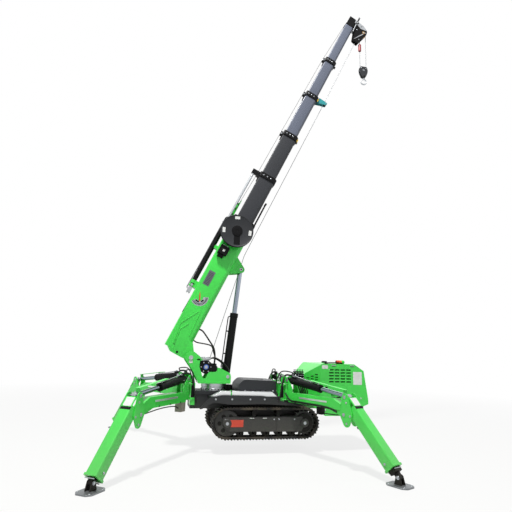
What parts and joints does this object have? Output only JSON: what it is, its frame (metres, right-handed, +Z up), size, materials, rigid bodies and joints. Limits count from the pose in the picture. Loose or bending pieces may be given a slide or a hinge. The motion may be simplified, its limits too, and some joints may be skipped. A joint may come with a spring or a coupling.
{
  "type": "spider crane",
  "caption": "Small tracked crane on four folding outriggers, with a slewing turret, a telescopic luffing boom, a cable reel, a winch and a hook block",
  "frame": {"origin": "on the ground under the centre of the machine's overall box", "axes": "+Z up; +X toward the engine end, over which the boom reaches; -X is the machine's front, so its left side is at -Y"},
  "size_m": [3.9996, 4.1888, 7.2612],
  "materials": {
    "chassis": "semi gloss paint",
    "deck_box": "gloss paint",
    "slew_ring": "polished",
    "track_left": "matt, dirty",
    "track_right": "matt, dirty",
    "track_frame_left": "semi gloss paint",
    "track_frame_right": "semi gloss paint",
    "engine_cover": "gloss paint",
    "engine_block": "semi gloss paint",
    "valve_bank": "gloss black paint",
    "leg_bracket_front": "gloss paint",
    "leg_bracket_rear": "gloss paint",
    "turret": "gloss paint",
    "winch_drum": "gloss black paint",
    "boom_base": "semi gloss paint",
    "tele_barrel": "gloss black paint",
    "cable_reel": "gloss black paint",
    "boom_section_2": "semi gloss paint",
    "boom_section_3": "semi gloss paint",
    "boom_section_4": "semi gloss paint",
    "boom_section_5": "semi gloss paint",
    "boom_section_6": "semi gloss paint",
    "boom_head": "semi gloss paint",
    "head_sheave": "worn metal",
    "limit_weight": "semi gloss paint",
    "hook_block": "gloss paint",
    "hoist_rope": "plain steel",
    "block_sheave": "plain steel",
    "hook": "plain steel",
    "luff_barrel": "gloss black paint",
    "luff_rod": "polished",
    "front_left_arm": "gloss paint",
    "front_left_barrel": "gloss black paint",
    "front_left_rod": "polished",
    "front_left_outer_leg": "gloss paint",
    "front_left_inner_leg": "plain steel",
    "front_left_foot": "plain steel",
    "front_right_arm": "gloss paint",
    "front_right_barrel": "gloss black paint",
    "front_right_rod": "polished",
    "front_right_outer_leg": "gloss paint",
    "front_right_inner_leg": "plain steel",
    "front_right_foot": "plain steel",
    "rear_left_arm": "gloss paint",
    "rear_left_barrel": "gloss black paint",
    "rear_left_rod": "polished",
    "rear_left_outer_leg": "gloss paint",
    "rear_left_inner_leg": "plain steel",
    "rear_left_foot": "plain steel",
    "rear_right_arm": "gloss paint",
    "rear_right_barrel": "gloss black paint",
    "rear_right_rod": "polished",
    "rear_right_outer_leg": "gloss paint",
    "rear_right_inner_leg": "plain steel",
    "rear_right_foot": "plain steel"
  },
  "bodies": {
    "base": {"chassis": "chassis", "deck_box": "deck_box", "slew_ring": "slew_ring", "track_left": "track_left", "track_right": "track_right", "track_frame_left": "track_frame_left", "track_frame_right": "track_frame_right", "engine_cover": "engine_cover", "engine_block": "engine_block", "valve_bank": "valve_bank", "leg_bracket_front": "leg_bracket_front", "leg_bracket_rear": "leg_bracket_rear"},
    "upper": {"turret": "turret"},
    "winch_body": {"winch_drum": "winch_drum"},
    "boom": {"boom_base": "boom_base", "tele_barrel": "tele_barrel"},
    "reel_body": {"cable_reel": "cable_reel"},
    "section_2": {"boom_section_2": "boom_section_2"},
    "section_3": {"boom_section_3": "boom_section_3"},
    "section_4": {"boom_section_4": "boom_section_4"},
    "section_5": {"boom_section_5": "boom_section_5"},
    "section_6": {"boom_section_6": "boom_section_6", "boom_head": "boom_head"},
    "head_wheel": {"head_sheave": "head_sheave"},
    "hook_hanger": {"limit_weight": "limit_weight"},
    "block": {"hook_block": "hook_block", "hoist_rope": "hoist_rope"},
    "block_wheel": {"block_sheave": "block_sheave"},
    "hook_body": {"hook": "hook"},
    "luff_cylinder": {"luff_barrel": "luff_barrel"},
    "luff_piston": {"luff_rod": "luff_rod"},
    "front_left_leg": {"front_left_arm": "front_left_arm"},
    "front_left_cylinder": {"front_left_barrel": "front_left_barrel"},
    "front_left_piston": {"front_left_rod": "front_left_rod"},
    "front_left_outer": {"front_left_outer_leg": "front_left_outer_leg"},
    "front_left_inner": {"front_left_inner_leg": "front_left_inner_leg"},
    "front_left_pad": {"front_left_foot": "front_left_foot"},
    "front_right_leg": {"front_right_arm": "front_right_arm"},
    "front_right_cylinder": {"front_right_barrel": "front_right_barrel"},
    "front_right_piston": {"front_right_rod": "front_right_rod"},
    "front_right_outer": {"front_right_outer_leg": "front_right_outer_leg"},
    "front_right_inner": {"front_right_inner_leg": "front_right_inner_leg"},
    "front_right_pad": {"front_right_foot": "front_right_foot"},
    "rear_left_leg": {"rear_left_arm": "rear_left_arm"},
    "rear_left_cylinder": {"rear_left_barrel": "rear_left_barrel"},
    "rear_left_piston": {"rear_left_rod": "rear_left_rod"},
    "rear_left_outer": {"rear_left_outer_leg": "rear_left_outer_leg"},
    "rear_left_inner": {"rear_left_inner_leg": "rear_left_inner_leg"},
    "rear_left_pad": {"rear_left_foot": "rear_left_foot"},
    "rear_right_leg": {"rear_right_arm": "rear_right_arm"},
    "rear_right_cylinder": {"rear_right_barrel": "rear_right_barrel"},
    "rear_right_piston": {"rear_right_rod": "rear_right_rod"},
    "rear_right_outer": {"rear_right_outer_leg": "rear_right_outer_leg"},
    "rear_right_inner": {"rear_right_inner_leg": "rear_right_inner_leg"},
    "rear_right_pad": {"rear_right_foot": "rear_right_foot"}
  },
  "joints": [
    {"name": "slew", "type": "hinge", "parent": "base", "child": "upper", "pos_m": [-0.506, 0, 0.885], "axis": [0, 0, 1], "continuous": true},
    {"name": "winch", "type": "hinge", "parent": "upper", "child": "winch_body", "pos_m": [-0.646, 0, 1.106], "axis": [0, 1, 0], "continuous": true},
    {"name": "luff", "type": "hinge", "parent": "upper", "child": "boom", "pos_m": [-0.861, 0, 1.229], "axis": [0, -1, 0], "range_deg": [-64.6, 10.4]},
    {"name": "reel", "type": "hinge", "parent": "boom", "child": "reel_body", "pos_m": [-0.29534, 0, 3.06372], "axis": [0, 1, 0], "continuous": true},
    {"name": "extend_2", "type": "slide", "parent": "boom", "child": "section_2", "axis": [0.4289, 0, 0.9033], "range_m": [-0.68, 0.4]},
    {"name": "extend_3", "type": "slide", "parent": "section_2", "child": "section_3", "axis": [0.4289, 0, 0.9033], "range_m": [-0.68, 0.4]},
    {"name": "extend_4", "type": "slide", "parent": "section_3", "child": "section_4", "axis": [0.4289, 0, 0.9033], "range_m": [-0.68, 0.4]},
    {"name": "extend_5", "type": "slide", "parent": "section_4", "child": "section_5", "axis": [0.4289, 0, 0.9033], "range_m": [-0.68, 0.4]},
    {"name": "extend_6", "type": "slide", "parent": "section_5", "child": "section_6", "axis": [0.4289, 0, 0.9033], "range_m": [-0.68, 0.4]},
    {"name": "head_wheel", "type": "hinge", "parent": "section_6", "child": "head_wheel", "pos_m": [1.90826, 0, 6.97013], "axis": [0, 1, 0], "continuous": true},
    {"name": "hook_level", "type": "hinge", "parent": "section_6", "child": "hook_hanger", "pos_m": [1.90826, 0, 6.97013], "axis": [0, -1, 0], "range_deg": [-10.4, 64.6]},
    {"name": "hoist", "type": "slide", "parent": "hook_hanger", "child": "block", "axis": [0, 0, -1], "range_m": [0, 5.4]},
    {"name": "block_wheel", "type": "hinge", "parent": "block", "child": "block_wheel", "pos_m": [1.90826, 0, 6.24013], "axis": [0, 1, 0], "continuous": true},
    {"name": "hook_swivel", "type": "hinge", "parent": "block", "child": "hook_body", "pos_m": [1.90826, 0, 6.24013], "axis": [0, 0, 1], "continuous": true},
    {"name": "luff_cylinder", "type": "hinge", "parent": "upper", "child": "luff_cylinder", "pos_m": [-0.337, 0, 0.98], "axis": [0, -1, 0], "range_deg": [-72, 12.5]},
    {"name": "luff_piston", "type": "slide", "parent": "luff_cylinder", "child": "luff_piston", "axis": [0.1009, 0, 0.9949], "range_m": [-0.61, 0.11]},
    {"name": "front_left_swing", "type": "hinge", "parent": "base", "child": "front_left_leg", "pos_m": [-0.91, -0.328, 0.8], "axis": [0, 0, 1], "range_deg": [-25.4, 19.6]},
    {"name": "front_left_knee", "type": "hinge", "parent": "front_left_leg", "child": "front_left_outer", "pos_m": [-1.53463, -1.23345, 0.635], "axis": [0.8231, -0.5678, 0], "range_deg": [-35, 20]},
    {"name": "front_left_extend", "type": "slide", "parent": "front_left_outer", "child": "front_left_inner", "axis": [-0.3595, -0.5212, -0.774], "range_m": [0, 0.4]},
    {"name": "front_left_ankle", "type": "hinge", "parent": "front_left_inner", "child": "front_left_pad", "pos_m": [-1.87931, -1.73309, 0.085], "axis": [0.8231, -0.5678, 0], "range_deg": [-20, 20]},
    {"name": "front_left_cylinder", "type": "hinge", "parent": "front_left_leg", "child": "front_left_cylinder", "pos_m": [-0.94407, -0.37739, 0.96], "axis": [0.8231, -0.5678, 0], "range_deg": [-2, 2]},
    {"name": "front_left_piston", "type": "slide", "parent": "front_left_cylinder", "child": "front_left_piston", "axis": [-0.5639, -0.8174, -0.1179], "range_m": [-0.13, 0.08]},
    {"name": "front_right_swing", "type": "hinge", "parent": "base", "child": "front_right_leg", "pos_m": [-0.91, 0.328, 0.8], "axis": [0, 0, 1], "range_deg": [-19.6, 25.4]},
    {"name": "front_right_knee", "type": "hinge", "parent": "front_right_leg", "child": "front_right_outer", "pos_m": [-1.53463, 1.23345, 0.635], "axis": [-0.8231, -0.5678, 0], "range_deg": [-35, 20]},
    {"name": "front_right_extend", "type": "slide", "parent": "front_right_outer", "child": "front_right_inner", "axis": [-0.3595, 0.5212, -0.774], "range_m": [0, 0.4]},
    {"name": "front_right_ankle", "type": "hinge", "parent": "front_right_inner", "child": "front_right_pad", "pos_m": [-1.87931, 1.73309, 0.085], "axis": [-0.8231, -0.5678, 0], "range_deg": [-20, 20]},
    {"name": "front_right_cylinder", "type": "hinge", "parent": "front_right_leg", "child": "front_right_cylinder", "pos_m": [-0.94407, 0.37739, 0.96], "axis": [-0.8231, -0.5678, 0], "range_deg": [-2, 2]},
    {"name": "front_right_piston", "type": "slide", "parent": "front_right_cylinder", "child": "front_right_piston", "axis": [-0.5639, 0.8174, -0.1179], "range_m": [-0.13, 0.08]},
    {"name": "rear_left_swing", "type": "hinge", "parent": "base", "child": "rear_left_leg", "pos_m": [0.48, -0.328, 0.8], "axis": [0, 0, 1], "range_deg": [-15.2, 34.8]},
    {"name": "rear_left_knee", "type": "hinge", "parent": "rear_left_leg", "child": "rear_left_outer", "pos_m": [0.94836, -1.32331, 0.635], "axis": [0.9048, 0.4258, 0], "range_deg": [-35, 20]},
    {"name": "rear_left_extend", "type": "slide", "parent": "rear_left_outer", "child": "rear_left_inner", "axis": [0.2929, -0.6225, -0.7257], "range_m": [0, 0.4]},
    {"name": "rear_left_ankle", "type": "hinge", "parent": "rear_left_inner", "child": "rear_left_pad", "pos_m": [1.24172, -1.94674, 0.085], "axis": [0.9048, 0.4258, 0], "range_deg": [-20, 20]},
    {"name": "rear_left_cylinder", "type": "hinge", "parent": "rear_left_leg", "child": "rear_left_cylinder", "pos_m": [0.50555, -0.38229, 0.96], "axis": [0.9048, 0.4258, 0], "range_deg": [-2, 2]},
    {"name": "rear_left_piston", "type": "slide", "parent": "rear_left_cylinder", "child": "rear_left_piston", "axis": [0.4228, -0.8985, -0.1185], "range_m": [-0.13, 0.08]},
    {"name": "rear_right_swing", "type": "hinge", "parent": "base", "child": "rear_right_leg", "pos_m": [0.48, 0.328, 0.8], "axis": [0, 0, 1], "range_deg": [-34.8, 15.2]},
    {"name": "rear_right_knee", "type": "hinge", "parent": "rear_right_leg", "child": "rear_right_outer", "pos_m": [0.94836, 1.32331, 0.635], "axis": [-0.9048, 0.4258, 0], "range_deg": [-35, 20]},
    {"name": "rear_right_extend", "type": "slide", "parent": "rear_right_outer", "child": "rear_right_inner", "axis": [0.2929, 0.6225, -0.7257], "range_m": [0, 0.4]},
    {"name": "rear_right_ankle", "type": "hinge", "parent": "rear_right_inner", "child": "rear_right_pad", "pos_m": [1.24172, 1.94674, 0.085], "axis": [-0.9048, 0.4258, 0], "range_deg": [-20, 20]},
    {"name": "rear_right_cylinder", "type": "hinge", "parent": "rear_right_leg", "child": "rear_right_cylinder", "pos_m": [0.50555, 0.38229, 0.96], "axis": [-0.9048, 0.4258, 0], "range_deg": [-2, 2]},
    {"name": "rear_right_piston", "type": "slide", "parent": "rear_right_cylinder", "child": "rear_right_piston", "axis": [0.4228, 0.8985, -0.1185], "range_m": [-0.13, 0.08]}
  ],
  "couplings": [
    {"joint": "extend_3", "follows": "extend_2", "ratio": 1},
    {"joint": "extend_4", "follows": "extend_2", "ratio": 1},
    {"joint": "extend_5", "follows": "extend_2", "ratio": 1},
    {"joint": "extend_6", "follows": "extend_2", "ratio": 1},
    {"joint": "hook_level", "follows": "luff", "ratio": -1},
    {"joint": "luff_cylinder", "follows": "luff", "ratio": 1.09},
    {"joint": "luff_piston", "follows": "luff", "m_per_rad": 0.5275},
    {"joint": "front_left_cylinder", "follows": "front_left_knee", "ratio": -0.03},
    {"joint": "front_left_piston", "follows": "front_left_knee", "m_per_rad": 0.1891},
    {"joint": "front_right_cylinder", "follows": "front_right_knee", "ratio": -0.03},
    {"joint": "front_right_piston", "follows": "front_right_knee", "m_per_rad": 0.1891},
    {"joint": "rear_left_cylinder", "follows": "rear_left_knee", "ratio": -0.03},
    {"joint": "rear_left_piston", "follows": "rear_left_knee", "m_per_rad": 0.1891},
    {"joint": "rear_right_cylinder", "follows": "rear_right_knee", "ratio": -0.03},
    {"joint": "rear_right_piston", "follows": "rear_right_knee", "m_per_rad": 0.1891}
  ]
}
